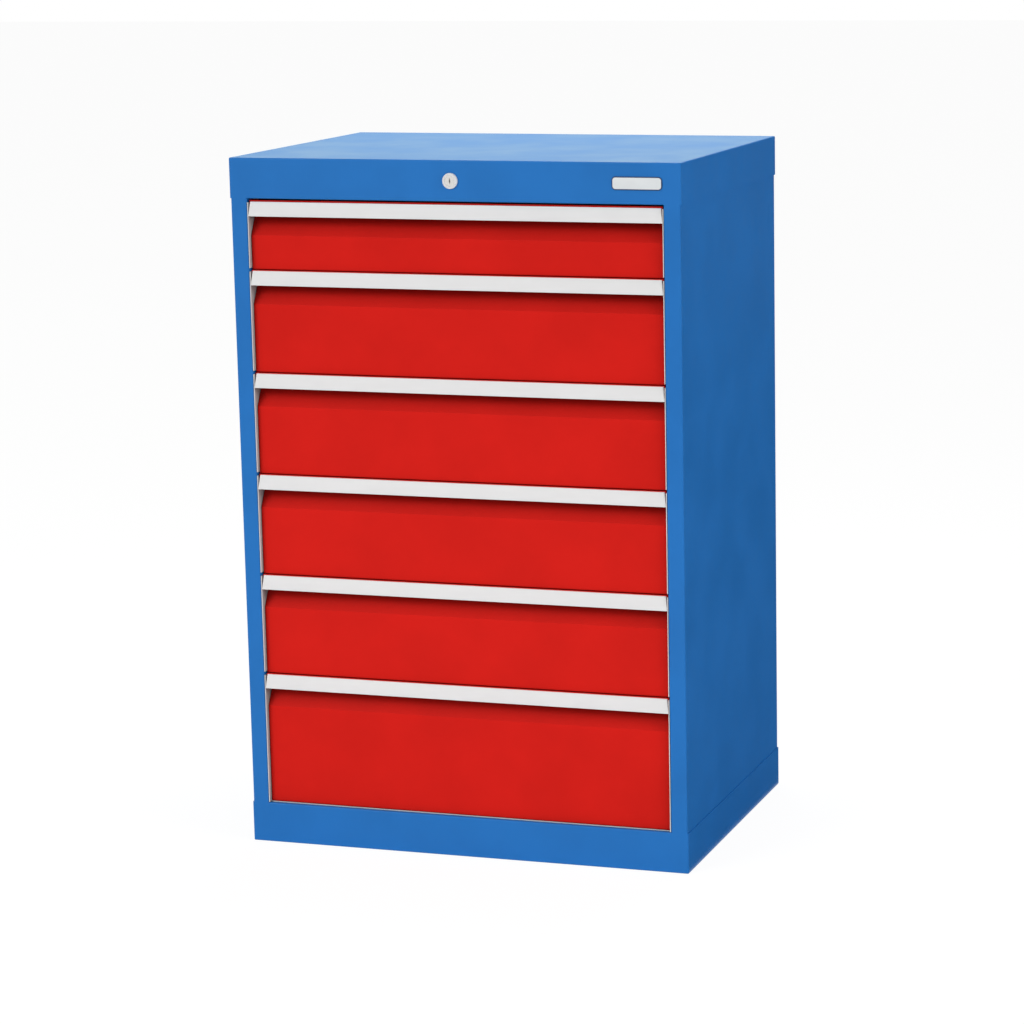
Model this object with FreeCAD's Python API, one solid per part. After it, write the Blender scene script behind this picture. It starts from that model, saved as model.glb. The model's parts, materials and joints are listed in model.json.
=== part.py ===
import FreeCAD, Part
import math
import os

# Drawer cabinet in folded sheet steel, with six drawers on telescopic roller runners
# and one lock that holds them all. Millimetres, +Z up, the drawers open towards -Y.
# The origin is the centre of the footprint, on the floor.

V = FreeCAD.Vector

# Carcass
width = 680.0
depth = 500.0
height = 1020.0
cover_height = 58.5       # skirt of the top cover, which is also the header over the drawers
base_height = 60.0
sheet = 1.5               # thickness of the carcass sheet
bend = 0.5                # inside radius of every carcass fold
post_width = 24.5         # folded front post beside the drawers
post_return = 25.0        # how far the post is folded back beside the drawers
post_lip = 6.0
side_flange = 20.0        # rear, top and bottom flanges of a side panel
flange_relief = 6.0       # notch between two flanges at a corner
joggle = 3.0              # lap where a post steps back to go inside a pan
lip_depth = 13.0          # fold under the header and over the base
lip_upstand = 9.0
lip_side_gap = 0.5        # end of that fold to the posts

# Drawer grid, counted in modules; the lowest drawer takes what the others leave
module = 50.0
upper_modules = [2, 3, 3, 3, 3]
top_gap = 4.8             # header to the first drawer
front_gap = 1.2           # between one front and the next
base_gap = 1.0            # under the lowest front

# Drawer front: a folded panel with a finger recess behind a grip strip
front_sheet = 1.2
front_bend = 0.8
front_setback = 7.0       # face of the front behind the face of the posts
recess_slope_height = 28.0
recess_depth = 16.0       # at the top of that slope, and up behind the grip
front_return = 12.0       # fold under the front
grip_seat_proud = 2.4     # lip that carries the grip, ahead of the front's face
grip_seat = 9.0
grip_height = 19.4
grip_drop = 1.5           # top of the grip below the top of the front
grip_top_proud = 4.0      # grip's upper edge ahead of the front's face
grip_bottom_proud = 7.7   # grip's lower edge ahead of the front's face
grip_thickness = 2.0
grip_side_gap = 0.1       # grip to cheek, each side
grip_edge = 0.7
grip_end_slant = 2.3      # each end of the grip is further in at its top
grip_corner = 1.0

# Drawer tray
tray_sheet = 1.2
tray_lift = 3.0           # tray above the bottom of its module
tray_drop = 20.0          # tray's rim below the top of its front
cheek_side_gap = 0.5      # cheek that closes the end of the recess, to the post
cheek_proud = 6.5         # front edge of the cheek ahead of the front's face
cheek_drop = 1.0          # top of the cheek below the top of the front
front_side_gap = 1.0      # front to cheek, each side
hem = 8.0
rear_room = 47.0          # between the trays and the back panel, for the lock bar
catch_width = 40.0
catch_reach = 18.0
catch_lip = 14.0
catch_foot = 12.0

# Telescopic runners: cabinet rail, carrier with rollers on both sides, rail on the tray
rail_height = 24.0
rail_sheet = 1.5
rail_lift = 4.0           # tray rail above the bottom of the tray
rail_front_gap = 3.0      # rails behind the tray's front wall
rail_rear_gap = 2.0
runner_side_gap = 3.0     # carrier to post
carrier_sheet = 2.4
carrier_height = 22.0
slide_gap = 0.4           # rims of the rails to the carrier
roller_width = 8.6        # from the face of the carrier
roller_gap = 0.3          # roller to flange, above and below
roller_side_gap = 0.5     # roller to the web of its rail
roller_end_gap = 8.0      # roller's rim to the end of its carrier
stop_gap = 0.3            # roller to the end stop at the end of the travel
travel = 400.0            # full travel of a drawer, and twice that of its carriers

# Slotted uprights that the cabinet rails hook into
upright_width = 25.0
upright_inset = 8.0       # from the end of the rails
upright_lip = 8.0
slot_width = 4.0
hook_height = 10.0
hook_width = 3.0
hook_drop = 4.0
hook_gap = 0.3

# Lock in the header, its spindle, and the bar behind the trays
rosette_r = 11.3
rosette_proud = 3.0
rosette_edge = 1.0
barrel_r = 9.0
barrel_length = 24.0
barrel_hole_play = 0.1
cylinder_r = 7.7
cylinder_recess = 0.6
running_play = 0.05
key_slot_height = 9.0
key_slot_width = 2.4
key_slot_depth = 8.0
nut_across_flats = 24.0
nut_thickness = 4.0
spindle_r = 4.0
bracket_width = 40.0
bracket_foot = 20.0
bracket_under_spindle = 12.0
bracket_gap = 0.3
crank_hub_length = 11.0
crank_hub_r = 8.0
crank_throw = 10.0
crank_thickness = 3.0
crank_eye_r = 5.5
crank_pin_r = 2.5
crank_pin_play = 0.6      # round the pin, in the bar's slot
lock_turn = 90.0          # degrees
bar_width = 25.0
bar_thickness = 3.0
bar_gap = 0.3             # bar to the back panel, to its guides and to the crank
bar_head_width = 36.0
bar_head_above_slot = 16.0
bar_head_below_slot = 15.0
bar_tail = 12.0
bar_hook_width = 20.0
bar_hook_sheet = 3.0
bar_hook_tip = 13.0
bar_hook_foot = 14.0      # flange of a hook on the bar
bar_hook_setback = 6.0    # tip behind the tray
bar_hook_play = 4.0       # tip under the catch when unlocked
guide_height = 20.0
guide_foot = 15.0
guide_lift = 30.0         # guide over the rim of its tray

# Name plate on the header
badge_width = 73.5
badge_height = 19.0
badge_thickness = 1.0
badge_corner = 4.0
badge_inset = 64.0        # its middle from the side of the cabinet

# Planes and heights that follow from the sizes above
front_y = -depth / 2
back_y = depth / 2
pan_inner_y = front_y + sheet
side_x = width / 2 - sheet
side_inner_x = side_x - sheet
opening_x = side_x - post_width
inner_back_y = back_y - 2 * sheet
header_z = height - cover_height
roof_z = height - sheet
panel_foot_z = sheet + bend          # panels stand clear of the folds inside the pans
panel_head_z = roof_z - bend
lock_z = height - cover_height / 2

face_y = front_y + front_setback
cheek_x = opening_x - cheek_side_gap
front_x = cheek_x - tray_sheet - front_side_gap
grip_x = cheek_x - tray_sheet - grip_side_gap
grip_seat_y = face_y - grip_seat_proud
recess_y = face_y + recess_depth
grip_foot_drop = grip_drop + grip_height
tray_front_y = recess_y + front_sheet
tray_back_y = inner_back_y - rear_room

rail_front_y = tray_front_y + rail_front_gap
rail_back_y = tray_back_y - rail_rear_gap
carrier_out_x = opening_x - runner_side_gap
carrier_in_x = carrier_out_x - carrier_sheet
roller_r = rail_height / 2 - rail_sheet - roller_gap
roller_room = roller_width + roller_side_gap
tray_x = carrier_in_x - roller_room - rail_sheet
upright_x = carrier_out_x + roller_room + rail_sheet

bar_front_y = inner_back_y - bar_gap - bar_thickness
crank_back_y = bar_front_y - bar_gap
crank_front_y = crank_back_y - crank_thickness
hub_front_y = crank_front_y - crank_hub_length
bar_rise = 2 * crank_throw * math.sin(math.radians(lock_turn / 2))

# Each plane: first direction, second direction, direction of extrusion
PLANES = {
    "xy": (V(1, 0, 0), V(0, 1, 0), V(0, 0, 1)),
    "xz": (V(1, 0, 0), V(0, 0, 1), V(0, 1, 0)),
    "yz": (V(0, 1, 0), V(0, 0, 1), V(1, 0, 0)),
}


def block(x0, x1, y0, y1, z0, z1):
    return Part.makeBox(x1 - x0, y1 - y0, z1 - z0, V(x0, y0, z0))


def rod(x, y0, y1, z, r):
    return Part.makeCylinder(r, y1 - y0, V(x, y0, z), V(0, 1, 0))


def disc(x0, x1, y, z, r):
    return Part.makeCylinder(r, x1 - x0, V(x0, y, z), V(1, 0, 0))


def joined(shapes):
    return shapes[0].multiFuse(shapes[1:]).removeSplitter()


def mirrored(shape):
    return shape.mirror(V(0, 0, 0), V(1, 0, 0))


def prism(corners, radii, plane, start, end):
    """Extrude a closed outline whose corners are rounded by the radii given."""
    first, second, normal = PLANES[plane]

    def place(p):
        return first * p.x + second * p.y + normal * start

    flat = [V(a, b, 0) for a, b in corners]
    edges = []
    last = None
    opening = None
    for i, corner in enumerate(flat):
        arrive = (corner - flat[i - 1]).normalize()
        leave = (flat[(i + 1) % len(flat)] - corner).normalize()
        half_turn = arrive.getAngle(leave) / 2
        reach = radii[i] * math.tan(half_turn)
        begin = place(corner - arrive * reach)
        finish = place(corner + leave * reach)
        if last is None:
            opening = begin
        else:
            edges.append(Part.LineSegment(last, begin).toShape())
        if reach > 0:
            inward = (leave - arrive).normalize()
            middle = corner + inward * (radii[i] / math.cos(half_turn) - radii[i])
            edges.append(Part.Arc(begin, place(middle), finish).toShape())
        last = finish
    edges.append(Part.LineSegment(last, opening).toShape())
    face = Part.Face(Part.Wire(edges))
    return face.extrude(normal * (end - start))


def folded(line, plane, start, end, thickness, radius=0.0):
    """Fold sheet along a line; its thickness lies to the left, or to the right if negative.

    The radius is the one inside each fold, and outside it is larger by the sheet.
    """
    points = [V(a, b, 0) for a, b in line]
    side = math.copysign(1.0, thickness)
    gauge = abs(thickness)
    steps = [(b - a).normalize() for a, b in zip(points, points[1:])]
    normals = [V(-s.y, s.x, 0) * side for s in steps]
    far = [points[0] + normals[0] * gauge]
    near_radii = [0.0]
    far_radii = [0.0]
    for i in range(1, len(steps)):
        spread = normals[i - 1] + normals[i]
        far.append(points[i] + spread * (gauge / (1 + normals[i - 1].dot(normals[i]))))
        turns_to_sheet = (steps[i - 1].x * steps[i].y - steps[i - 1].y * steps[i].x) * side > 0
        near_radii.append(radius + gauge if turns_to_sheet else radius)
        far_radii.append(radius if turns_to_sheet else radius + gauge)
    far.append(points[-1] + normals[-1] * gauge)
    corners = [(p.x, p.y) for p in points] + [(p.x, p.y) for p in reversed(far)]
    radii = near_radii + [0.0] + list(reversed(far_radii + [0.0]))
    return prism(corners, radii, plane, start, end)


def rounded_plate(half_x, z0, z1, y0, y1, radius):
    corners = [(-half_x, z0), (half_x, z0), (half_x, z1), (-half_x, z1)]
    return prism(corners, [radius] * 4, "xz", y0, y1)


# Carcass

def pan(rim):
    """Deep folded pan, open upwards, with a folded lip along its front rim."""
    outside = block(-width / 2, width / 2, front_y, back_y, 0, rim)
    folds = [e for e in outside.Edges if e.BoundBox.ZMin < rim / 2]
    outside = outside.makeFillet(bend + sheet, folds)
    inside = block(-side_x, side_x, pan_inner_y, back_y - sheet, sheet, rim + sheet)
    lip_x = opening_x - lip_side_gap
    line = [(front_y, rim / 2), (front_y, rim), (front_y + lip_depth, rim),
            (front_y + lip_depth, rim - lip_upstand)]
    lip = folded(line, "yz", -lip_x, lip_x, -sheet, bend)
    corner = block(-lip_x, lip_x, front_y, pan_inner_y, rim / 2, rim)
    return joined([outside.cut(inside).cut(corner), lip])


def top_cover():
    cover = pan(cover_height)
    cover.rotate(V(0, 0, 0), V(0, 1, 0), 180)
    cover.translate(V(0, 0, height))
    return cover.cut(rod(0, front_y, pan_inner_y, lock_z, barrel_r + barrel_hole_play))


def panel_wall(post_y, z0, z1):
    """Length of a side panel's folded wall, with the face of its post in the plane given."""
    return_y = front_y + post_return
    line = [(opening_x + post_lip, return_y), (opening_x, return_y), (opening_x, post_y),
            (side_x, post_y), (side_x, inner_back_y), (side_x - side_flange, inner_back_y)]
    return folded(line, "xy", z0, z1, sheet, bend)


def side_panel():
    pieces = [panel_wall(front_y, base_height, header_z),
              panel_wall(pan_inner_y, panel_foot_z, base_height + joggle),
              panel_wall(pan_inner_y, header_z - joggle, panel_head_z)]
    for z in (panel_foot_z, panel_head_z - sheet):
        pieces.append(block(side_x - side_flange, side_inner_x,
                            front_y + post_return + flange_relief,
                            inner_back_y - side_flange - flange_relief, z, z + sheet))
    return joined(pieces)


def back_panel():
    return block(bend - side_x, side_x - bend, inner_back_y, inner_back_y + sheet,
                 panel_foot_z, panel_head_z)


def upright(y0, slot_floors):
    y1 = y0 + upright_width
    line = [(side_inner_x, y0 + upright_lip), (side_inner_x, y0), (upright_x, y0),
            (upright_x, y1), (side_inner_x, y1), (side_inner_x, y1 - upright_lip)]
    profile = folded(line, "xy", panel_foot_z + sheet, panel_head_z - sheet, -sheet)
    slot_y = y0 + upright_width / 2
    slots = [block(upright_x, upright_x + sheet, slot_y - slot_width / 2, slot_y + slot_width / 2,
                   z, z + hook_height + hook_drop) for z in slot_floors]
    return profile.cut(Part.makeCompound(slots))


# Drawers

def drawer_front(bottom, top):
    slope_top = top - grip_foot_drop
    fold_z = top - front_sheet
    line = [(face_y + front_return, bottom), (face_y, bottom),
            (face_y, slope_top - recess_slope_height), (recess_y, slope_top), (recess_y, fold_z),
            (grip_seat_y + front_sheet, fold_z), (grip_seat_y + front_sheet, top - grip_seat)]
    return folded(line, "yz", -front_x, front_x, -front_sheet, front_bend)


def grip_strip(front_top):
    top = front_top - grip_drop
    foot = front_top - grip_foot_drop
    seat = front_top - grip_seat
    top_y = face_y - grip_top_proud
    foot_y = face_y - grip_bottom_proud
    seat_y = top_y + (foot_y - top_y) * (top - seat) / grip_height
    corners = [(top_y, top), (foot_y, foot), (foot_y + grip_thickness, foot),
               (seat_y + grip_thickness, seat), (grip_seat_y, seat), (grip_seat_y, top)]
    radii = [grip_edge, grip_edge, grip_edge, 0, 0, 0]
    bar = prism(corners, radii, "yz", -grip_x, grip_x)
    top_x = grip_x - grip_end_slant
    ends = [(-grip_x, foot), (grip_x, foot), (top_x, top), (-top_x, top)]
    return bar.common(prism(ends, [grip_corner] * 4, "xz", foot_y, grip_seat_y))


def tray(floor, front_top):
    rim = front_top - tray_drop
    cheek_front_y = face_y - cheek_proud
    body_line = [(hem - tray_x, rim), (-tray_x, rim), (-tray_x, floor), (tray_x, floor),
                 (tray_x, rim), (tray_x - hem, rim)]
    body = folded(body_line, "xz", tray_front_y + tray_sheet, tray_back_y - tray_sheet, tray_sheet)
    front_line = [(-cheek_x, cheek_front_y), (-cheek_x, tray_front_y + tray_sheet),
                  (cheek_x, tray_front_y + tray_sheet), (cheek_x, cheek_front_y)]
    front_wall = folded(front_line, "xy", floor, front_top - cheek_drop, -tray_sheet)
    back_wall = folded([(tray_back_y, floor), (tray_back_y, rim), (tray_back_y - hem, rim)],
                       "yz", -tray_x, tray_x, tray_sheet)
    return joined([body, front_wall, back_wall])


def tray_catch(front_top):
    """Folded bracket on the back of a tray, which the hook of the lock bar rises into."""
    rim = front_top - tray_drop
    end_y = tray_back_y + catch_reach
    line = [(tray_back_y, rim - catch_foot), (tray_back_y, rim), (end_y, rim), (end_y, rim - catch_lip)]
    return folded(line, "yz", -catch_width / 2, catch_width / 2, -tray_sheet)


# Runners, drawn for the right-hand side of the cabinet

def rail(web_x, rim_x, mid_z, stop_y):
    """C-shaped rail with a stop folded in at one end."""
    inward = math.copysign(1.0, rim_x - web_x)
    z0 = mid_z - rail_height / 2
    z1 = mid_z + rail_height / 2
    channel = folded([(rim_x, z1), (web_x, z1), (web_x, z0), (rim_x, z0)], "xz",
                     rail_front_y, rail_back_y, inward * rail_sheet)
    stop_x = sorted([web_x + inward * rail_sheet / 2, rim_x])
    stop = block(stop_x[0], stop_x[1], stop_y, stop_y + rail_sheet,
                 z0 + rail_sheet / 2, z1 - rail_sheet / 2)
    return joined([channel, stop])


def tray_rail(mid_z):
    return rail(tray_x, carrier_in_x - slide_gap, mid_z, rail_back_y - rail_sheet)


def cabinet_rail(mid_z, upright_places):
    pieces = [rail(upright_x, carrier_out_x + slide_gap, mid_z, rail_front_y)]
    floor = mid_z - hook_height / 2
    neck_x = upright_x + sheet + hook_gap
    tip_x = neck_x + rail_sheet
    corners = [(upright_x - rail_sheet / 2, floor), (neck_x, floor), (neck_x, floor - hook_drop),
               (tip_x, floor - hook_drop), (tip_x, floor + hook_height),
               (upright_x - rail_sheet / 2, floor + hook_height)]
    for y0 in upright_places:
        mid_y = y0 + upright_width / 2
        pieces.append(prism(corners, [0] * 6, "xz", mid_y - hook_width / 2, mid_y + hook_width / 2))
    return joined(pieces)


def inner_roller_places():
    return [rail_front_y + roller_end_gap + roller_r,
            rail_back_y - rail_sheet - stop_gap - roller_r - travel / 2]


def outer_roller_places():
    return [rail_front_y + rail_sheet + stop_gap + roller_r + travel / 2,
            rail_back_y - roller_end_gap - roller_r]


def carrier(mid_z):
    """Plate with two rollers towards the tray and two towards the cabinet, as one solid."""
    half = carrier_height / 2
    pieces = [block(carrier_in_x, carrier_out_x, rail_front_y, rail_back_y, mid_z - half, mid_z + half)]
    for y in inner_roller_places():
        pieces.append(disc(carrier_in_x - roller_width, carrier_in_x, y, mid_z, roller_r))
    for y in outer_roller_places():
        pieces.append(disc(carrier_out_x, carrier_out_x + roller_width, y, mid_z, roller_r))
    return joined(pieces)


def both_sides(shapes):
    return Part.makeCompound(shapes + [mirrored(s) for s in shapes])


# Lock

def lock_barrel():
    rosette = rod(0, front_y - rosette_proud, front_y, lock_z, rosette_r)
    rim = [e for e in rosette.Edges if e.BoundBox.YMax < front_y - rosette_proud / 2]
    rosette = rosette.makeChamfer(rosette_edge, rim)
    barrel = rod(0, front_y, front_y + barrel_length, lock_z, barrel_r)
    bore = rod(0, front_y - rosette_proud, front_y + barrel_length, lock_z, cylinder_r + running_play)
    return joined([rosette, barrel]).cut(bore)


def lock_nut():
    corner_r = nut_across_flats / 2 / math.cos(math.pi / 6)
    turns = [math.radians(60 * k) for k in range(6)]
    corners = [(corner_r * math.cos(a), lock_z + corner_r * math.sin(a)) for a in turns]
    back = pan_inner_y + nut_thickness
    hexagon = prism(corners, [0] * 6, "xz", pan_inner_y, back)
    return hexagon.cut(rod(0, pan_inner_y, back, lock_z, barrel_r + barrel_hole_play))


def lock_cylinder():
    face = front_y - rosette_proud + cylinder_recess
    plug = rod(0, face, front_y + barrel_length, lock_z, cylinder_r)
    half_x = key_slot_width / 2
    half_z = key_slot_height / 2
    corners = [(0, lock_z - half_z), (half_x, lock_z), (0, lock_z + half_z), (-half_x, lock_z)]
    return plug.cut(prism(corners, [0] * 4, "xz", face, face + key_slot_depth))


def lock_spindle():
    """Long spindle with a crank clamped on its rear end, drawn with the lock open."""
    shaft = rod(0, front_y + barrel_length, crank_back_y, lock_z, spindle_r)
    hub = rod(0, hub_front_y, crank_back_y, lock_z, crank_hub_r)
    eye = rod(crank_throw, crank_front_y, crank_back_y, lock_z, crank_eye_r)
    arm = block(0, crank_throw, crank_front_y, crank_back_y, lock_z - crank_eye_r, lock_z + crank_eye_r)
    pin = rod(crank_throw, crank_back_y, bar_front_y + bar_thickness, lock_z, crank_pin_r)
    crank = joined([hub, eye, arm, pin])
    crank.rotate(V(0, 0, lock_z), V(0, 1, 0), lock_turn / 2)
    return joined([shaft, crank])


def spindle_bracket():
    plate_y = hub_front_y - bracket_gap
    foot_line = [(plate_y, lock_z - bracket_under_spindle), (plate_y, roof_z),
                 (plate_y - bracket_foot, roof_z)]
    plate = folded(foot_line, "yz", -bracket_width / 2, bracket_width / 2, sheet, bend)
    return plate.cut(rod(0, plate_y - 2 * sheet, plate_y, lock_z, spindle_r + running_play))


def hook_tip_top(front_top):
    return front_top - tray_drop - catch_lip - bar_hook_play


def lock_bar(lowest_front_top):
    slot_z = lock_z - bar_rise / 2
    bar = block(-bar_width / 2, bar_width / 2, bar_front_y, bar_front_y + bar_thickness,
                hook_tip_top(lowest_front_top) - bar_hook_tip - bar_hook_foot - bar_tail, slot_z)
    head = rounded_plate(bar_head_width / 2, slot_z - bar_head_below_slot, slot_z + bar_head_above_slot,
                         bar_front_y, bar_front_y + bar_thickness, crank_pin_r)
    half = crank_pin_r + crank_pin_play
    slot_x0 = crank_throw * math.cos(math.radians(lock_turn / 2)) - half
    slot_x1 = crank_throw + half
    corners = [(slot_x0, slot_z - half), (slot_x1, slot_z - half), (slot_x1, slot_z + half),
               (slot_x0, slot_z + half)]
    slot = prism(corners, [half * 0.9] * 4, "xz", bar_front_y, bar_front_y + bar_thickness)
    return joined([bar, head]).cut(slot)


def bar_hook(front_top):
    """Folded hook: a foot on the bar, an arm under the tray's catch and a tip behind the tray."""
    tip_top = hook_tip_top(front_top)
    tip_y = tray_back_y + bar_hook_setback
    foot_y = bar_front_y - bar_hook_sheet
    arm_z = tip_top - bar_hook_tip - bar_hook_sheet
    line = [(tip_y, tip_top), (tip_y, arm_z), (foot_y, arm_z), (foot_y, arm_z - bar_hook_foot)]
    half = bar_hook_width / 2
    return folded(line, "yz", -half, half, bar_hook_sheet)


def bar_guide(z0):
    wall_x = bar_width / 2 + bar_gap
    crown_y = bar_front_y - bar_gap
    line = [(-wall_x - guide_foot, inner_back_y), (-wall_x, inner_back_y), (-wall_x, crown_y),
            (wall_x, crown_y), (wall_x, inner_back_y), (wall_x + guide_foot, inner_back_y)]
    return folded(line, "xy", z0, z0 + guide_height, -sheet)


def badge_plate():
    plate = rounded_plate(badge_width / 2, lock_z - badge_height / 2, lock_z + badge_height / 2,
                          front_y - badge_thickness, front_y, badge_corner)
    plate.translate(V(width / 2 - badge_inset, 0, 0))
    return plate


# Places of the drawers, from the top one down

first_top = header_z - top_gap
front_tops = [first_top - module * sum(upper_modules[:i]) for i in range(len(upper_modules) + 1)]
lowest_modules = round((front_tops[-1] - base_height) / module)
front_modules = upper_modules + [lowest_modules]
module_floors = [top - module * n + front_gap for top, n in zip(front_tops, front_modules)]
front_bottoms = module_floors[:-1] + [base_height + base_gap]
tray_floors = [z + tray_lift for z in module_floors]
rail_mids = [z + rail_lift + rail_height / 2 for z in tray_floors]

upright_places = [rail_front_y + upright_inset, rail_back_y - upright_inset - upright_width]
slot_floors = [z - hook_height / 2 for z in rail_mids]

right_panel = side_panel()
right_uprights = [upright(y0, slot_floors) for y0 in upright_places]

nodes = {
    "top_cover": top_cover(),
    "base_pan": pan(base_height),
    "right_side_panel": right_panel,
    "left_side_panel": mirrored(right_panel),
    "back_panel": back_panel(),
    "right_uprights": Part.makeCompound(right_uprights),
    "left_uprights": Part.makeCompound([mirrored(u) for u in right_uprights]),
    "badge_plate": badge_plate(),
    "lock_barrel": lock_barrel(),
    "lock_nut": lock_nut(),
    "lock_cylinder": lock_cylinder(),
    "lock_spindle": lock_spindle(),
    "spindle_bracket": spindle_bracket(),
    "lock_bar": lock_bar(front_tops[-1]),
    "lock_bar_hooks": Part.makeCompound([bar_hook(top) for top in front_tops]),
    "lock_bar_guides": Part.makeCompound(
        [bar_guide(top - tray_drop + guide_lift) for top in front_tops[1::2]]),
}
for i, top in enumerate(front_tops):
    name = f"drawer_{i + 1}_"
    mid_z = rail_mids[i]
    nodes[name + "tray"] = tray(tray_floors[i], top)
    nodes[name + "catch"] = tray_catch(top)
    nodes[name + "front"] = drawer_front(front_bottoms[i], top)
    nodes[name + "grip"] = grip_strip(top)
    nodes[name + "tray_rails"] = both_sides([tray_rail(mid_z)])
    nodes[name + "cabinet_rails"] = both_sides([cabinet_rail(mid_z, upright_places)])
    nodes[name + "carriers"] = both_sides([carrier(mid_z)])

os.makedirs("parts", exist_ok=True)
for name, shape in nodes.items():
    if not shape.isValid():
        print("not valid:", name)
    shape.exportStep(f"parts/{name}.step")
print(len(nodes), "nodes,", sum(len(s.Solids) for s in nodes.values()), "solids; bar rises", bar_rise)
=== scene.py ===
# %% [markdown]
# A drawer cabinet for a workshop. The carcass is folded sheet steel with a blue powder coat,
# and six red drawer fronts stand in it, each with a light grey grip strip along its top.
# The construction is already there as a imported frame: this lesson loads it, gives every
# surface its finish, and remakes the few pieces that deserve finer modelling than the frame.

# %% Load the frame
import bmesh
import bpy
import json
import math
from mathutils import Matrix, Vector


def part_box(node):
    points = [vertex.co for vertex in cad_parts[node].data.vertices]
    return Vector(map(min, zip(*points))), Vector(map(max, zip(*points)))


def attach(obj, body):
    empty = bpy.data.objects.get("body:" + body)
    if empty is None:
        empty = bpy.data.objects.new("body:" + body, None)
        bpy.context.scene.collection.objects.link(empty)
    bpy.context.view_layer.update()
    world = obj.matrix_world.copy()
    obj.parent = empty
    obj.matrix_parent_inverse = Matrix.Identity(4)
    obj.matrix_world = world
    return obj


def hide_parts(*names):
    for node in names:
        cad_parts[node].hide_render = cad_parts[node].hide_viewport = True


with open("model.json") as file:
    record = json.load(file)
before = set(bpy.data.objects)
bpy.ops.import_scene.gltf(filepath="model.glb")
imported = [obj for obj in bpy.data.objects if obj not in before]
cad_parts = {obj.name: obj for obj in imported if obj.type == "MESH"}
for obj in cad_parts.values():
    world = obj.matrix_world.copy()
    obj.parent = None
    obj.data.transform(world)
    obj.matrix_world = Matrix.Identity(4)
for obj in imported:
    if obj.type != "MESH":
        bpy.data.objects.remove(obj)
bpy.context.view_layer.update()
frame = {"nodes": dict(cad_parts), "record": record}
nodes = frame["nodes"]

# %% [markdown]
# Colours are read off a photograph as values from 0 to 255, but a shader wants light.
# The curve between them is the sRGB one, so one small function serves every material.

# %% Colours as light
def light(red, green, blue):
    """A screen colour from 0 to 255 as the linear colour that a shader takes."""
    values = [c / 255 for c in (red, green, blue)]
    linear = [v / 12.92 if v <= 0.04045 else ((v + 0.055) / 1.055) ** 2.4 for v in values]
    return (*linear, 1.0)

BLUE = light(32, 109, 182)
RED = light(204, 31, 25)
TRAY_GREY = light(205, 207, 207)
GRIP_GREY = light(219, 219, 219)
BADGE_GREY = light(214, 218, 220)
BADGE_RIM = light(30, 58, 96)
ROSETTE_GREY = light(213, 213, 214)
NYLON = light(222, 219, 206)
ZINC = light(176, 179, 184)
NICKEL = light(206, 204, 201)
print("cabinet blue as light", [round(c, 3) for c in BLUE[:3]])

# %% [markdown]
# Every finish here is a thin skin on a smooth base: paint, plating or moulded plastic. What
# tells them apart is how large their grain is, how rough they are, and how a fold or an edge
# catches the light. So each material starts from the same helpers: a grain that is measured in
# millimetres on the piece itself, a spread that turns it into colour or roughness, and a bump
# that turns it into relief.

# %% A material with its plain values
def finish(name, colour, roughness, metallic=0.0, gloss=0.5):
    """A material with its shader ready and its plain values on the shader's own sockets."""
    material = bpy.data.materials.new(name)
    material.use_nodes = True
    tree = material.node_tree
    shader = tree.nodes["Principled BSDF"]
    shader.inputs["Base Color"].default_value = colour
    shader.inputs["Roughness"].default_value = roughness
    shader.inputs["Metallic"].default_value = metallic
    shader.inputs["Specular IOR Level"].default_value = gloss
    material.diffuse_color = colour
    return material, tree, shader

# %% Grain and spread
def grain(tree, size, stretch=(1, 1, 1), detail=2.0):
    """Noise with blotches of about a size in millimetres, longer where the stretch is below 1."""
    place = tree.nodes.new("ShaderNodeTexCoord")
    mapping = tree.nodes.new("ShaderNodeMapping")
    mapping.inputs["Scale"].default_value = stretch
    noise = tree.nodes.new("ShaderNodeTexNoise")
    noise.inputs["Scale"].default_value = 1000 / size
    noise.inputs["Detail"].default_value = detail
    tree.links.new(place.outputs["Object"], mapping.inputs["Vector"])
    tree.links.new(mapping.outputs["Vector"], noise.inputs["Vector"])
    return noise.outputs["Fac"]


def between(tree, value, low, high, start=0.35, end=0.65):
    """A number that runs from low to high as the value runs from start to end."""
    spread = tree.nodes.new("ShaderNodeMapRange")
    spread.inputs["From Min"].default_value = start
    spread.inputs["From Max"].default_value = end
    spread.inputs["To Min"].default_value = low
    spread.inputs["To Max"].default_value = high
    tree.links.new(value, spread.inputs["Value"])
    return spread.outputs["Result"]

# %% Colours that vary
def blended(tree, value, first, second):
    """A colour that runs from the first to the second as the value runs from 0 to 1."""
    mix = tree.nodes.new("ShaderNodeMix")
    mix.data_type = "RGBA"
    mix.inputs["A"].default_value = first
    mix.inputs["B"].default_value = second
    tree.links.new(value, mix.inputs["Factor"])
    return mix.outputs["Result"]


def shaded(colour, factor):
    """The colour darker or lighter by a factor, but no brighter than white."""
    return (*[min(1.0, c * factor) for c in colour[:3]], 1.0)


def mottled(tree, value, colour, share):
    """The colour darker by the share given where the value is 0, and lighter where it is 1."""
    return blended(tree, value, shaded(colour, 1 - share), shaded(colour, 1 + share))


def vary(tree, shader, colour, roughness):
    """Lets a colour and a roughness that vary over the surface drive the shader."""
    tree.links.new(colour, shader.inputs["Base Color"])
    tree.links.new(roughness, shader.inputs["Roughness"])

# %% Relief
def relief(tree, shader, value, depth):
    """A bump that follows the value, with its depth in millimetres."""
    bump = tree.nodes.new("ShaderNodeBump")
    bump.inputs["Strength"].default_value = 1.0
    bump.inputs["Distance"].default_value = depth / 1000
    tree.links.new(value, bump.inputs["Height"])
    tree.links.new(bump.outputs["Normal"], shader.inputs["Normal"])

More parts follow.
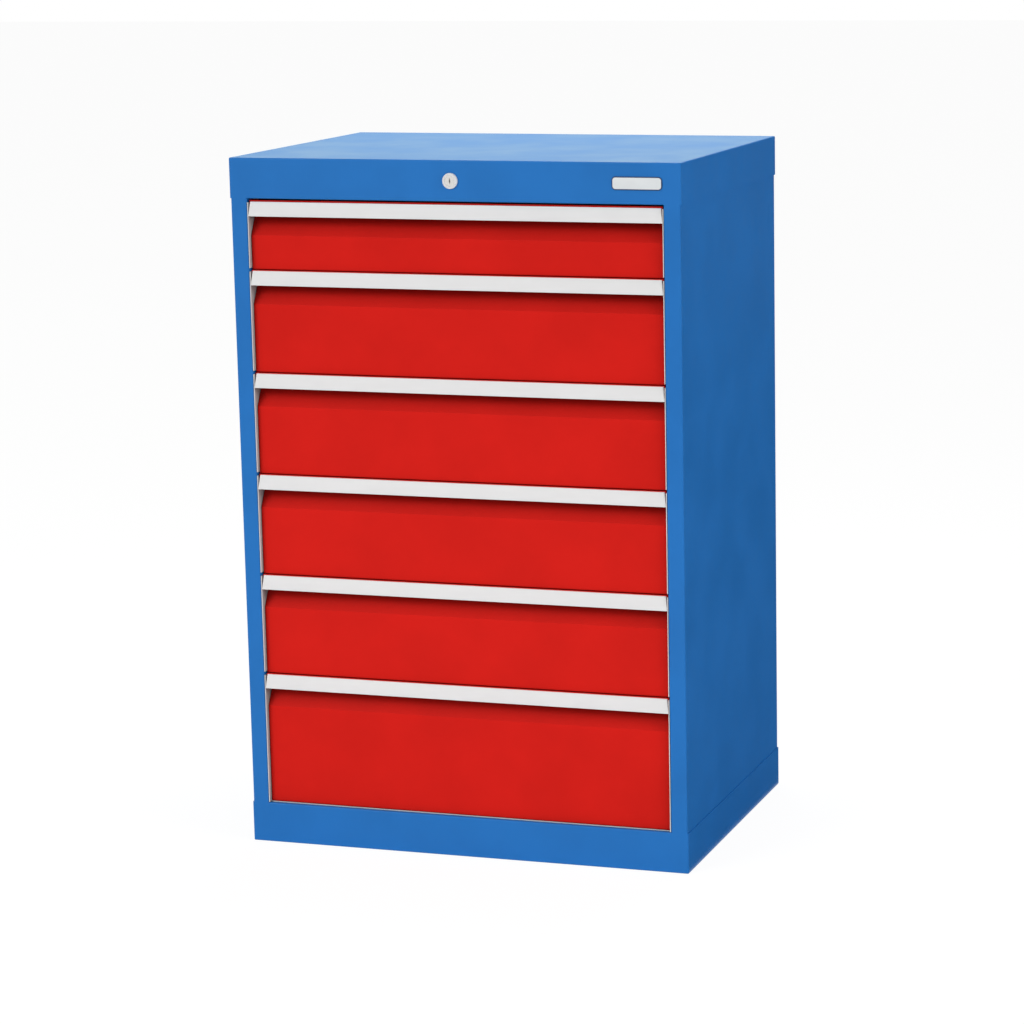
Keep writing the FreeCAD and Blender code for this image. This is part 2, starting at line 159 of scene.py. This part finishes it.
# %% [markdown]
# Powder coat flows into a smooth, slightly wavy skin. Two sizes of noise show that: an orange
# peel of about a millimetre and a half, so shallow that it only breaks up the reflections, and
# broad clouds of a hand's width that shift the colour and the gloss by a few percent. The coat
# is semi-matt, so it mirrors little when it is looked at squarely and more at a flat angle.
# Deep inside a fold less light arrives than a render with few bounces shows, so shade is painted
# there: an Ambient Occlusion node measures how much of the sky a point can see within a few
# centimetres, and the coat's colour on the fronts and trays is painted darker there. The edges
# between two fronts lie in a gap so narrow that this painted shade would turn them nearly black,
# so they get the red without it.

# %% Powder coat
CLOUD_SIZE, PEEL_SIZE, PEEL_DEPTH = 90, 1.6, 0.012   # in millimetres
COAT_TINT, COAT_ROUGHNESS = 0.035, 0.03              # how far the clouds shift each
# The shade in a fold is painted into the colour; the next two lines shape where it falls.
FOLD_REACH = 0.06                    # how far the shade in a fold looks round, in metres
CLOSED_IN, IN_THE_OPEN = 0.4, 0.95   # shares of sky where that shade is full, and where it ends

def paint_shade_in_folds(tree, colour, deepest_painted_shade):
    """The colour as it is in the open, with painted shade where the surroundings close it in."""
    sky = tree.nodes.new("ShaderNodeAmbientOcclusion")
    sky.samples = 8
    sky.inputs["Distance"].default_value = FOLD_REACH
    darker = tree.nodes.new("ShaderNodeMix")
    darker.data_type = "RGBA"
    darker.blend_type = "MULTIPLY"
    darker.inputs["Factor"].default_value = 1.0
    tree.links.new(colour, darker.inputs["A"])
    tree.links.new(between(tree, sky.outputs["AO"], deepest_painted_shade, 1.0, CLOSED_IN, IN_THE_OPEN),
                   darker.inputs["B"])
    return darker.outputs["Result"]


def powder_coat(name, colour, roughness, gloss, deepest_painted_shade=None):
    """A powder coat, whose folds get painted shade down to the share of colour given, if any."""
    material, tree, shader = finish(name, colour, roughness, gloss=gloss)
    clouds = grain(tree, CLOUD_SIZE, detail=3.0)
    mottle_and_painted_shade = mottled(tree, between(tree, clouds, 0.0, 1.0), colour, COAT_TINT)
    if deepest_painted_shade is not None:
        mottle_and_painted_shade = paint_shade_in_folds(tree, mottle_and_painted_shade, deepest_painted_shade)
    vary(tree, shader, mottle_and_painted_shade,
         between(tree, clouds, roughness - COAT_ROUGHNESS, roughness + COAT_ROUGHNESS))
    relief(tree, shader, grain(tree, PEEL_SIZE, detail=1.0), PEEL_DEPTH)
    return material

blue_coat = powder_coat("blue_powder_coat", BLUE, 0.42, 0.15)
# The last number on these two coats is the share of colour left where the painted shade is full.
red_coat = powder_coat("red_powder_coat", RED, 0.44, 0.02, 0.5)
grey_coat = powder_coat("light_grey_powder_coat", TRAY_GREY, 0.46, 0.15, 0.6)
edge_coat = powder_coat("red_edge_coat", RED, 0.44, 0.02)
print("powder coats:", blue_coat.name, red_coat.name, grey_coat.name, edge_coat.name)

# %% [markdown]
# The grip strips, the name plate, the lock's rosette and the rollers are matt plastic. Close to,
# the strips are not one grey: a faint mottling of a few centimetres runs along them, drawn out
# sideways as the material flowed. The other pieces have it smaller. A fine moulded texture
# keeps their highlights soft.

# %% Matt plastic
FLOW_START, FLOW_END = 0.3, 0.7      # the part of the noise that the mottling uses
FLOW_ROUGHNESS = 0.05                # how far the mottling shifts the roughness
TEXTURE_SIZE, TEXTURE_DEPTH = 0.5, 0.01              # in millimetres

def moulded(name, colour, roughness, flow_size, stretch, tint_share):
    """A matt plastic whose mottling has a size in millimetres and a share of the colour."""
    material, tree, shader = finish(name, colour, roughness, gloss=0.3)
    flow = grain(tree, flow_size, stretch=stretch, detail=4.0)
    flow_share = between(tree, flow, 0.0, 1.0, FLOW_START, FLOW_END)
    vary(tree, shader, mottled(tree, flow_share, colour, tint_share),
         between(tree, flow, roughness - FLOW_ROUGHNESS, roughness + FLOW_ROUGHNESS))
    relief(tree, shader, grain(tree, TEXTURE_SIZE), TEXTURE_DEPTH)
    return material

strip_plastic = moulded("strip_plastic", GRIP_GREY, 0.5, 22, (0.35, 1, 1), 0.02)
badge_plastic = moulded("badge_plastic", BADGE_GREY, 0.42, 12, (0.5, 1, 1), 0.015)
badge_rim = moulded("badge_rim", BADGE_RIM, 0.5, 6, (1, 1, 1), 0.05)
rosette_plastic = moulded("rosette_plastic", ROSETTE_GREY, 0.34, 8, (1, 1, 1), 0.012)
nylon = moulded("roller_nylon", NYLON, 0.48, 6, (1, 1, 1), 0.03)
print("plastics:", strip_plastic.name, badge_plastic.name, rosette_plastic.name, nylon.name)

# %% [markdown]
# The runners, the slotted uprights and the lock bar are rolled strip with a zinc layer.
# Rolling leaves fine lines along the strip, here along Y for the runners and along Z for the
# upright pieces, and the plating has pale and dark flakes a few millimetres wide.

# %% Zinc plate
LINE_SIZE, LINE_DEPTH, FLAKE_SIZE = 0.6, 0.006, 7    # in millimetres
ALONG_LINES = 0.03                   # stretch of the noise in the direction of rolling
ZINC_SMOOTH, ZINC_ROUGH = 0.32, 0.5
DARK_FLAKE, PALE_FLAKE = shaded(ZINC, 0.86), shaded(ZINC, 1.1)

def zinc_plate(name, along):
    """Zinc on strip that was rolled along the axis named."""
    material, tree, shader = finish(name, ZINC, 0.4, metallic=1.0)
    stretch = tuple(ALONG_LINES if axis == along else 1.0 for axis in "xyz")
    lines = grain(tree, LINE_SIZE, stretch=stretch, detail=3.0)
    place = tree.nodes.new("ShaderNodeTexCoord")
    flakes = tree.nodes.new("ShaderNodeTexVoronoi")
    flakes.inputs["Scale"].default_value = 1000 / FLAKE_SIZE
    tree.links.new(place.outputs["Object"], flakes.inputs["Vector"])
    flake_value = tree.nodes.new("ShaderNodeSeparateColor")
    tree.links.new(flakes.outputs["Color"], flake_value.inputs["Color"])
    vary(tree, shader, blended(tree, flake_value.outputs["Red"], DARK_FLAKE, PALE_FLAKE),
         between(tree, lines, ZINC_SMOOTH, ZINC_ROUGH))
    relief(tree, shader, lines, LINE_DEPTH)
    return material

zinc_along_runner = zinc_plate("zinc_along_runner", "y")
zinc_upright = zinc_plate("zinc_upright", "z")
print("zinc:", zinc_along_runner.name, zinc_upright.name)

# %% [markdown]
# The lock's plug is turned brass with a nickel plate. The tool leaves rings round its axis, so
# the rings are a wave texture centred on the lock, and a Mapping node moves that centre there.

# %% Nickel plate
RING_SCALE, RING_WOBBLE = 700, 0.6   # rings a little under half a millimetre apart
RING_DEPTH, NICKEL_GRAIN = 0.004, 3  # in millimetres
NICKEL_TINT, NICKEL_SMOOTH, NICKEL_ROUGH = 0.06, 0.2, 0.34

lock_low, lock_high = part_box("lock_cylinder")
lock_centre = (lock_low + lock_high) / 2

def nickel_plate(name):
    """Nickel with the rings that a turning tool leaves round the lock's axis."""
    material, tree, shader = finish(name, NICKEL, 0.26, metallic=1.0)
    place = tree.nodes.new("ShaderNodeTexCoord")
    centred = tree.nodes.new("ShaderNodeMapping")
    centred.inputs["Location"].default_value = (-lock_centre.x, 0, -lock_centre.z)
    rings = tree.nodes.new("ShaderNodeTexWave")
    rings.wave_type = "RINGS"
    rings.rings_direction = "Y"
    rings.inputs["Scale"].default_value = RING_SCALE
    rings.inputs["Distortion"].default_value = RING_WOBBLE
    tree.links.new(place.outputs["Object"], centred.inputs["Vector"])
    tree.links.new(centred.outputs["Vector"], rings.inputs["Vector"])
    vary(tree, shader, mottled(tree, grain(tree, NICKEL_GRAIN), NICKEL, NICKEL_TINT),
         between(tree, rings.outputs["Fac"], NICKEL_SMOOTH, NICKEL_ROUGH, 0.0, 1.0))
    relief(tree, shader, rings.outputs["Fac"], RING_DEPTH)
    return material

nickel = nickel_plate("nickel_plate")
print("lock centre", [round(c, 4) for c in lock_centre])

# %% [markdown]
# Each piece of the frame carries the name of its finish in the record, so most of the cabinet
# is dressed by one loop. Only the zinc needs a second look, for the direction of its rolling.

# %% Dress the frame
finish_of_slot = {
    "carcass_blue": blue_coat, "front_red": red_coat, "tray_grey": grey_coat,
    "grip_grey": strip_plastic, "badge_grey": badge_plastic, "zinc_steel": zinc_along_runner,
    "lock_ivory": rosette_plastic, "lock_metal": nickel,
}
upright_pieces = {"right_uprights", "left_uprights", "lock_bar", "lock_bar_hooks",
                  "lock_bar_guides"}

def dress(piece, material):
    """Gives a piece one material all over."""
    piece.data.materials.clear()
    piece.data.materials.append(material)

for part in frame["record"]["subparts"]:
    name = part["node"]
    of_slot = finish_of_slot[part["material_slot"]]
    dress(nodes[name], zinc_upright if name in upright_pieces else of_slot)

# %% [markdown]
# Some pieces are simple in the frame and are seen from near by, so they are remade here with
# bmesh: the grip strips, the lock's rosette, the name plate and the roller carriers. Each is
# built at the place of its CAD piece, from that piece's own box, and then rides on the same
# body. A bmesh makes each shape, and the last helper here ends it as a piece of the cabinet.

# %% Helpers for the finer pieces
DRAWERS = range(1, 7)                # from the top one down
WELD = 1e-6                          # points nearer than this become one
SHARP_FROM = math.radians(32)        # edges that turn further stay sharp

def millimetres(*values):
    """Values in millimetres as the metres of the scene."""
    return [v / 1000 for v in values]


def placed(name, data):
    """An object at the origin that shows the data."""
    made = bpy.data.objects.new(name, data)
    bpy.context.scene.collection.objects.link(made)
    return made


def meshed(name, shape):
    """A bmesh as an object with its own mesh."""
    mesh = bpy.data.meshes.new(name)
    shape.to_mesh(mesh)
    shape.free()
    return placed(name, mesh)


def piece(name, shape, materials, body, record_slot, *stands_for):
    """Ends a bmesh as a piece that rides on a body, shown in place of the CAD pieces named."""
    bmesh.ops.remove_doubles(shape, verts=shape.verts, dist=WELD)
    bmesh.ops.recalc_face_normals(shape, faces=shape.faces)
    made = meshed(name, shape)
    made.data.shade_smooth()
    made.data.set_sharp_from_angle(angle=SHARP_FROM)
    for material in materials:
        made.data.materials.append(material)
    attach(made, body)
    if stands_for:
        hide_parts(*stands_for)
    return made

# %% [markdown]
# A grip strip leans outwards towards its foot, so that fingers find it. Its outline is drawn
# once as a face across the cabinet and extruded to the far end. Then both ends are slanted: the
# higher a point lies, the further in it moves. The edges that a hand meets are rounded last.

# %% Outlines drawn across, and rounding
def moved_on(shape, extrusion, way):
    """Moves what an extrusion made along a vector, and gives it back."""
    points = [v for v in extrusion["geom"] if isinstance(v, bmesh.types.BMVert)]
    bmesh.ops.translate(shape, verts=points, vec=way)
    return extrusion["geom"]


def drawn_across(outline, start_x, end_x):
    """A closed bar: an outline of y and z, drawn out across the cabinet."""
    shape = bmesh.new()
    end = shape.faces.new([shape.verts.new((start_x, y, z)) for y, z in outline])
    extrusion = bmesh.ops.extrude_face_region(shape, geom=[end])
    moved_on(shape, extrusion, (end_x - start_x, 0, 0))
    return shape


def rounded(shape, geometry, radius, segments, affect="EDGES"):
    """Rounds edges, or the corners of a face where affect is VERTICES."""
    bmesh.ops.bevel(shape, geom=geometry, offset=radius, offset_type="OFFSET",
                    segments=segments, profile=0.5, affect=affect, material=-1)

# %% Grip strips
LIP, LEAN_START, END_SLANT, EDGE = millimetres(2.0, 1.6, 2.3, 0.6)
SEAT_DEPTH = 0.009                   # from the front's top down to the seat, in metres
EDGE_SEGMENTS = 3

def grip_strip(name, node, front, body):
    """A strip at the place of its CAD piece, up to the top of the front that carries it."""
    low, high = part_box(node)
    top_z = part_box(front)[1].z
    seat_z = top_z - SEAT_DEPTH
    top_y = high.y - LEAN_START
    seat_y = top_y + (low.y - top_y) * (top_z - seat_z) / (top_z - low.z)
    outline = [(top_y, top_z), (low.y, low.z), (low.y + LIP, low.z), (seat_y + LIP, seat_z),
               (high.y, seat_z), (high.y, top_z)]
    shape = drawn_across(outline, low.x, high.x)
    for vert in shape.verts:
        inwards = END_SLANT * (vert.co.z - low.z) / (top_z - low.z)
        vert.co.x -= math.copysign(inwards, vert.co.x)
    touched = [e for e in shape.edges if all(v.co.y < high.y - WELD for v in e.verts)]
    rounded(shape, touched, EDGE, EDGE_SEGMENTS)
    return piece(name, shape, [strip_plastic], body, "grip_grey", node)

for i in DRAWERS:
    strip = grip_strip(f"grip_strip_{i}", f"drawer_{i}_grip", f"drawer_{i}_front", f"drawer_{i}")
print("grip strips:", len(strip.data.vertices), "vertices each")

# %% [markdown]
# Behind each strip the front's sheet ends in a rolled edge. From outside it is no more than a
# red line between the strip and whatever is above, the next front or the header, and it keeps
# the dark of the inside from showing there. It stays just under the next front, which slides out
# over it. Under the lowest front a pale edge shows above the plinth, and it is made the same
# way: a narrow bead with two rounded edges, extruded along the front.

# %% Front edges
EDGE_STEPS = 4
EDGE_RADIUS, ROLL_DEPTH, ROLL_START = millimetres(0.3, 1.6, 0.9)
UNDER_FRONT, UNDER_HEADER = millimetres(1.05, 2.2)   # rise of a bead above its front
FOOT_BACK, FOOT_DEPTH, FOOT_DROP, FOOT_RISE = millimetres(1.2, 1.2, 0.75, 0.5)

def front_edge(name, drawer, y0, depth, low_z, high_z, coat, record_slot):
    """A bead along a drawer's front, from y0 backwards and from low_z up to high_z."""
    left, right = (corner.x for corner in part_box(f"{drawer}_front"))
    outline = [(y0 + depth, low_z), (y0, low_z)]
    for centre_y, first in ((y0 + EDGE_RADIUS, math.pi), (y0 + depth - EDGE_RADIUS, math.pi / 2)):
        for step in range(EDGE_STEPS + 1):
            turn = first - math.pi / 2 * step / EDGE_STEPS
            outline.append((centre_y + EDGE_RADIUS * math.cos(turn),
                            high_z - EDGE_RADIUS + EDGE_RADIUS * math.sin(turn)))
    return piece(name, drawn_across(outline, left, right), [coat], drawer, record_slot)

for i in DRAWERS:
    # The edge under the header keeps the painted shade that darkens it there; the others don't.
    rise, coat = (UNDER_HEADER, red_coat) if i == 1 else (UNDER_FRONT, edge_coat)
    front_top, grip_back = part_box(f"drawer_{i}_front")[1].z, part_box(f"drawer_{i}_grip")[1].y
    front_edge(f"rolled_edge_{i}", f"drawer_{i}", grip_back, ROLL_DEPTH, front_top - ROLL_START,
               front_top + rise, coat, "front_red")
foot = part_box("drawer_6_front")[0]
edge = front_edge("foot_edge_6", "drawer_6", foot.y + FOOT_BACK, FOOT_DEPTH, foot.z - FOOT_DROP,
                  foot.z + FOOT_RISE, grey_coat, "tray_grey")
print("front edges:", len(edge.data.polygons), "faces each")

# %% [markdown]
# The rosette and the barrel behind it are turned, so they are one profile spun round the lock's
# axis: a flat ring with a rounded rim, the bore for the plug, and a threaded barrel. The thread
# is drawn as rings, as nobody sees its slope inside the header.

# %% Outlines turned round an axis
def turned(shape, points, closed, centre, axis, steps):
    """Spins a line of points once round an axis. A closed line ends where it starts."""
    verts = [shape.verts.new(point) for point in points]
    following = verts[1:] + verts[:1] if closed else verts[1:]
    edges = [shape.edges.new(pair) for pair in zip(verts, following)]
    bmesh.ops.spin(shape, geom=verts + edges, cent=centre, axis=axis, angle=2 * math.pi,
                   steps=steps, use_merge=True)

# %% Lock rosette
ROSETTE_PROUD, ROSETTE_EDGE, BORE_EDGE, PLUG_PLAY = millimetres(3.0, 1.3, 0.35, 0.05)
BARREL_RADIUS, SMOOTH_BARREL, THREAD_PITCH, THREAD_DEPTH = millimetres(9.0, 6.0, 1.5, 0.5)
RIM_STEPS, ROSETTE_STEPS = 6, 72

def lock_rosette(name, node):
    """Rosette and barrel as one turned piece. Its profile is a list of radius and y."""
    low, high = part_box(node)
    rim = (high.x - low.x) / 2
    bore = (lock_high.x - lock_low.x) / 2 + PLUG_PLAY
    profile = [(bore, high.y), (bore, low.y + BORE_EDGE), (bore + BORE_EDGE, low.y)]
    for step in range(RIM_STEPS + 1):
        turn = math.pi / 2 * step / RIM_STEPS
        profile.append((rim - ROSETTE_EDGE + ROSETTE_EDGE * math.sin(turn),
                        low.y + ROSETTE_EDGE - ROSETTE_EDGE * math.cos(turn)))
    seat_y = low.y + ROSETTE_PROUD
    crest_y = seat_y + SMOOTH_BARREL
    profile += [(rim, seat_y), (BARREL_RADIUS, seat_y), (BARREL_RADIUS, crest_y)]
    while crest_y + THREAD_PITCH < high.y:
        profile += [(BARREL_RADIUS - THREAD_DEPTH, crest_y + THREAD_PITCH / 2),
                    (BARREL_RADIUS, crest_y + THREAD_PITCH)]
        crest_y += THREAD_PITCH
    profile.append((BARREL_RADIUS - THREAD_DEPTH, high.y))
    shape = bmesh.new()
    turned(shape, [(lock_centre.x + r, y, lock_centre.z) for r, y in profile], True,
           (lock_centre.x, 0, lock_centre.z), (0, 1, 0), ROSETTE_STEPS)
    return piece(name, shape, [rosette_plastic], "root", "lock_ivory", node)

rosette = lock_rosette("lock_rosette", "lock_barrel")
print("rosette:", len(rosette.data.polygons), "faces")

# %% [markdown]
# The name plate is bare. Its light field lies in a narrow dark rim, which the photograph shows
# as a thin line all round. The corners are rounded first, and the rim is an inset of the front
# face, set back a little, so that the field stands in it as a shallow cushion.

# %% Name plate
CORNER, RIM, SET_BACK = millimetres(5.5, 1.0, 0.25)
CORNER_SEGMENTS = 8

def name_plate(name, node):
    """A plate whose first material is the field's and whose second is the rim's."""
    low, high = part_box(node)
    shape = bmesh.new()
    corners = [(low.x, low.z), (high.x, low.z), (high.x, high.z), (low.x, high.z)]
    back = shape.faces.new([shape.verts.new((x, high.y, z)) for x, z in corners])
    rounded(shape, list(back.verts), CORNER, CORNER_SEGMENTS, "VERTICES")
    extrusion = bmesh.ops.extrude_face_region(shape, geom=list(shape.faces))
    front = moved_on(shape, extrusion, (0, low.y + SET_BACK - high.y, 0))
    field = [f for f in front if isinstance(f, bmesh.types.BMFace)]
    for thickness in (RIM, RIM / 2):
        bmesh.ops.inset_region(shape, faces=field, thickness=thickness, use_even_offset=True)
    bmesh.ops.translate(shape, verts=field[0].verts, vec=(0, -SET_BACK, 0))
    light_part = set(field)
    for face in shape.faces:
        face.material_index = 0 if face in light_part else 1
    return piece(name, shape, [badge_plastic, badge_rim], "root", "badge_grey", node)

plate = name_plate("name_plate", "badge_plate")
print("name plate:", len(plate.data.polygons), "faces")

# %% [markdown]
# Behind the drawers' sides run the carriers: a zinc strip with two rollers towards the drawer
# and two towards the cabinet. In the frame they are one solid; here they are what they are made
# of. A roller is a nylon wheel with a rounded tread and a hollow side, spun round its axle, and
# the axle is a rivet with a flat head. Left and right are mirrored copies in one mesh.

# %% Roller and rivet outlines
STRIP, WHEEL, STRIP_CORNER = millimetres(2.4, 8.6, 3.0)
NEAR_END, FAR_FROM_END = millimetres(18.2, 212.0)    # axles from the ends of the strip
STRIP_SEGMENTS, WHEEL_STEPS = 4, 40

# Outlines as distance from the strip and radius, in millimetres
WHEEL_OUTLINE = [(0.4, 4.2), (0.4, 8.772), (0.9, 9.7), (1.6, 10.2), (7.0, 10.2), (7.7, 9.7),
                 (8.0, 8.772), (6.4, 8.16), (6.4, 5.0), (8.0, 4.2)]
RIVET_OUTLINE = [(0.0, 3.0), (8.0, 3.0), (8.0, 3.4), (8.36, 3.4), (8.6, 2.38), (8.6, 0.4)]

def on_axle(outline, start_x, way):
    """An outline in metres, set on the strip's face at start_x and pointing left or right."""
    return [(start_x + way * along / 1000, radius / 1000) for along, radius in outline]

# %% Roller carriers
def carriers(i):
    """The two carriers of a drawer, left and right, as strips, rollers and rivets."""
    node, body = f"drawer_{i}_carriers", f"runner_{i}"
    low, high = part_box(node)
    z = (low.z + high.z) / 2
    out_x = high.x - WHEEL
    in_x = out_x - STRIP
    places = [(in_x, -1, low.y + NEAR_END), (in_x, -1, high.y - FAR_FROM_END),
              (out_x, 1, low.y + FAR_FROM_END), (out_x, 1, high.y - NEAR_END)]
    strips, wheels, rivets = bmesh.new(), bmesh.new(), bmesh.new()
    for side in (-1, 1):
        made = bmesh.ops.create_cube(strips, size=1.0)["verts"]
        bmesh.ops.scale(strips, verts=made, vec=(STRIP, high.y - low.y, high.z - low.z))
        strip_centre = (side * (in_x + STRIP / 2), (low.y + high.y) / 2, z)
        bmesh.ops.translate(strips, verts=made, vec=strip_centre)
        for start_x, way, y in places:
            for shape, outline, closed in ((wheels, WHEEL_OUTLINE, True),
                                           (rivets, RIVET_OUTLINE, False)):
                points = [(side * x, y, z + r) for x, r in on_axle(outline, start_x, way)]
                turned(shape, points, closed, (0, y, z), (1, 0, 0), WHEEL_STEPS)
    ends = [e for e in strips.edges if abs(e.verts[0].co.x - e.verts[1].co.x) > STRIP / 2]
    rounded(strips, ends, STRIP_CORNER, STRIP_SEGMENTS)
    piece(f"carrier_strips_{i}", strips, [zinc_along_runner], body, "zinc_steel", node)
    piece(f"rollers_{i}", wheels, [nylon], body, "grip_grey")
    piece(f"roller_rivets_{i}", rivets, [zinc_along_runner], body, "zinc_steel")
    return places

for i in DRAWERS:
    places = carriers(i)
print("rollers per side at", [round(y, 4) for _, _, y in places])

# %% [markdown]
# The floor and the air round the cabinet are white. A white that the camera sees must not light
# the cabinet more than the lamps do, so a Light Path node gives the camera and the reflections a
# strength of 1, and everything else a softer ambient light.

# %% Air
AMBIENT = 0.25                       # strength of the air as the cabinet feels it

def looked_at(tree):
    """1 for rays from the camera, from a gloss or through glass, 0 for those that only light."""
    path = tree.nodes.new("ShaderNodeLightPath")
    seen = path.outputs["Is Camera Ray"]
    for kind in ("Is Glossy Ray", "Is Transmission Ray"):
        either = tree.nodes.new("ShaderNodeMath")
        either.operation = "MAXIMUM"
        tree.links.new(seen, either.inputs[0])
        tree.links.new(path.outputs[kind], either.inputs[1])
        seen = either.outputs["Value"]
    return seen

world = bpy.data.worlds.new("studio_air")
bpy.context.scene.world = world
world.use_nodes = True
air = world.node_tree
background = air.nodes["Background"]
background.inputs["Color"].default_value = (1, 1, 1, 1)
air.links.new(between(air, looked_at(air), AMBIENT, 1.0, 0.0, 1.0), background.inputs["Strength"])
print("ambient light", AMBIENT)

# %% [markdown]
# The floor is a wide flat sheet that meets the air far behind the cabinet. As a plain white
# paint it would look grey wherever the lamps fade, so what the camera sees is mostly a glow that
# is even everywhere, with a small share of the paint, which keeps the cabinet's soft shadow.
# For the rays that light the cabinet it is the paint alone, so the glow adds no light.

# %% Floor
FLOOR_HALF = 30.0                    # half the floor's width, in metres
FLOOR_GLOW, PAINT_SHARE = 1.06, 0.12

shape = bmesh.new()
bmesh.ops.create_grid(shape, x_segments=1, y_segments=1, size=FLOOR_HALF)
floor = meshed("floor", shape)
floor_paint, tree, shader = finish("floor_white", light(236, 236, 236), 0.9)
glow = tree.nodes.new("ShaderNodeEmission")
glow.inputs["Strength"].default_value = FLOOR_GLOW
as_seen = tree.nodes.new("ShaderNodeMixShader")
as_seen.inputs["Fac"].default_value = PAINT_SHARE
choice = tree.nodes.new("ShaderNodeMixShader")
tree.links.new(glow.outputs["Emission"], as_seen.inputs[1])
tree.links.new(shader.outputs["BSDF"], as_seen.inputs[2])
tree.links.new(looked_at(tree), choice.inputs["Fac"])
tree.links.new(shader.outputs["BSDF"], choice.inputs[1])
tree.links.new(as_seen.outputs["Shader"], choice.inputs[2])
tree.links.new(choice.outputs["Shader"], tree.nodes["Material Output"].inputs["Surface"])
dress(floor, floor_paint)
print("floor", floor.dimensions.x, "m wide")

# %% [markdown]
# The light comes softly from the upper left and in front, which puts the shade of each grip
# strip into the finger recess and the rosette's shadow at its right. Weaker lamps keep the side
# panel, the top and the plinth readable: one at the right, one above and a low strip in front.

# %% Lamps
def soft_lamp(name, place, aim, width, watts, height=None):
    """An area lamp that shines from its place at its aim, square unless a height is given."""
    lamp = bpy.data.lights.new(name, "AREA")
    lamp.shape = "RECTANGLE"
    lamp.size = width
    lamp.size_y = height or width
    lamp.energy = watts
    holder = placed(name, lamp)
    holder.location = place
    holder.rotation_euler = (Vector(aim) - Vector(place)).to_track_quat("-Z", "Y").to_euler()
    return holder

middle = (0, 0, 0.5)
soft_lamp("key_lamp", (-6.8, -9.7, 6.2), middle, 6.5, 905)
soft_lamp("fill_lamp", (4.5, -1.5, 2.2), middle, 2.5, 100)
soft_lamp("top_lamp", (0.1, 0.8, 2.7), (0, 0.1, 1.0), 1.2, 28)
low_lamp = soft_lamp("low_lamp", (-0.1, -1.35, 0.12), (0, -0.25, 0.2), 1.4, 2.2, 0.2)
low_lamp.visible_camera = low_lamp.visible_glossy = False
print("lamps in watts", {lamp.name: round(lamp.energy, 1) for lamp in bpy.data.lights})

# %% [markdown]
# Two surfaces are seen at a flat angle and mirror the room: the side panel the room at the
# right, the top cover the room behind. In a studio a dark card stands at the right and a bright
# one behind, both out of the picture. These are met by reflections only, so they light nothing
# and cast no shadow. Each is one edge drawn out once or twice.

# %% Cards
BESIDE, ABOVE_FLOOR = 0.342, 0.003   # the dark card starts just clear of the cabinet and floor
CARD_GLOW, CARD_TINT = 1.5, (0.93, 1.12, 0.93, 1.0)

def card(name, start, *draws):
    """A sheet from an edge that is drawn out again and again, seen by reflections only."""
    shape = bmesh.new()
    edge = shape.edges.new([shape.verts.new(corner) for corner in start])
    for draw in draws:
        drawn = moved_on(shape, bmesh.ops.extrude_edge_only(shape, edges=[edge]), draw)
        edge = next(e for e in drawn if isinstance(e, bmesh.types.BMEdge))
    sheet = meshed(name, shape)
    sheet.visible_camera = sheet.visible_diffuse = False
    sheet.visible_transmission = sheet.visible_shadow = False
    return sheet

dark_card = card("dark_card", [(BESIDE, y, ABOVE_FLOOR) for y in (-0.3, 5.7)],
                 (0.56, 0, 0), (0, 0, 3))
dress(dark_card, finish("card_grey", light(40, 44, 50), 0.9, gloss=0.0)[0])
bright_card = card("bright_card", [(-9, 7, 0.6), (-1.2, 7, 0.6)], (0, 2, 9))
card_glow, tree, shader = finish("card_glow", (0, 0, 0, 1), 1.0, gloss=0.0)
shader.inputs["Emission Color"].default_value = CARD_TINT
shader.inputs["Emission Strength"].default_value = CARD_GLOW
dress(bright_card, card_glow)
for sheet in (dark_card, bright_card):
    print(sheet.name, [round(c, 2) for c in sheet.dimensions])

# %% [markdown]
# The camera repeats the photograph's. Its place and turn were found from the seven visible
# corners of the cabinet, whose real size is known. The picture's middle lies a little beside the
# lens axis, as after a crop, and that is the small shift.

# %% Camera
PICTURE, SENSOR = 1024, 36           # the picture in pixels, the sensor in millimetres
FOCAL = 3247.6                       # in pixels of that picture
AZIMUTH, ELEVATION, ROLL = (math.radians(a) for a in (17.466, 11.155, -0.788))
PLACE = Vector((1.6319, -4.5476, 1.3861))
CENTRE = (644.2, 532.9)              # where the lens axis meets the picture, in pixels

forward = Vector((-math.sin(AZIMUTH) * math.cos(ELEVATION),
                  math.cos(AZIMUTH) * math.cos(ELEVATION), -math.sin(ELEVATION)))
level = Vector((math.cos(AZIMUTH), math.sin(AZIMUTH), 0))
upward = level.cross(forward)
right = level * math.cos(ROLL) + upward * math.sin(ROLL)
top = -level * math.sin(ROLL) + upward * math.cos(ROLL)
camera_data = bpy.data.cameras.new("photo_camera")
camera_data.sensor_width = SENSOR
camera_data.lens = FOCAL * SENSOR / PICTURE
camera_data.shift_x = (PICTURE / 2 - CENTRE[0]) / PICTURE
camera_data.shift_y = (CENTRE[1] - PICTURE / 2) / PICTURE
camera = placed("photo_camera", camera_data)
turn = Matrix((right, top, -forward)).transposed()
camera.matrix_world = Matrix.Translation(PLACE) @ turn.to_4x4()
bpy.context.scene.camera = camera
bpy.context.scene.view_settings.view_transform = "Standard"
print("lens", round(camera_data.lens, 2), "mm")
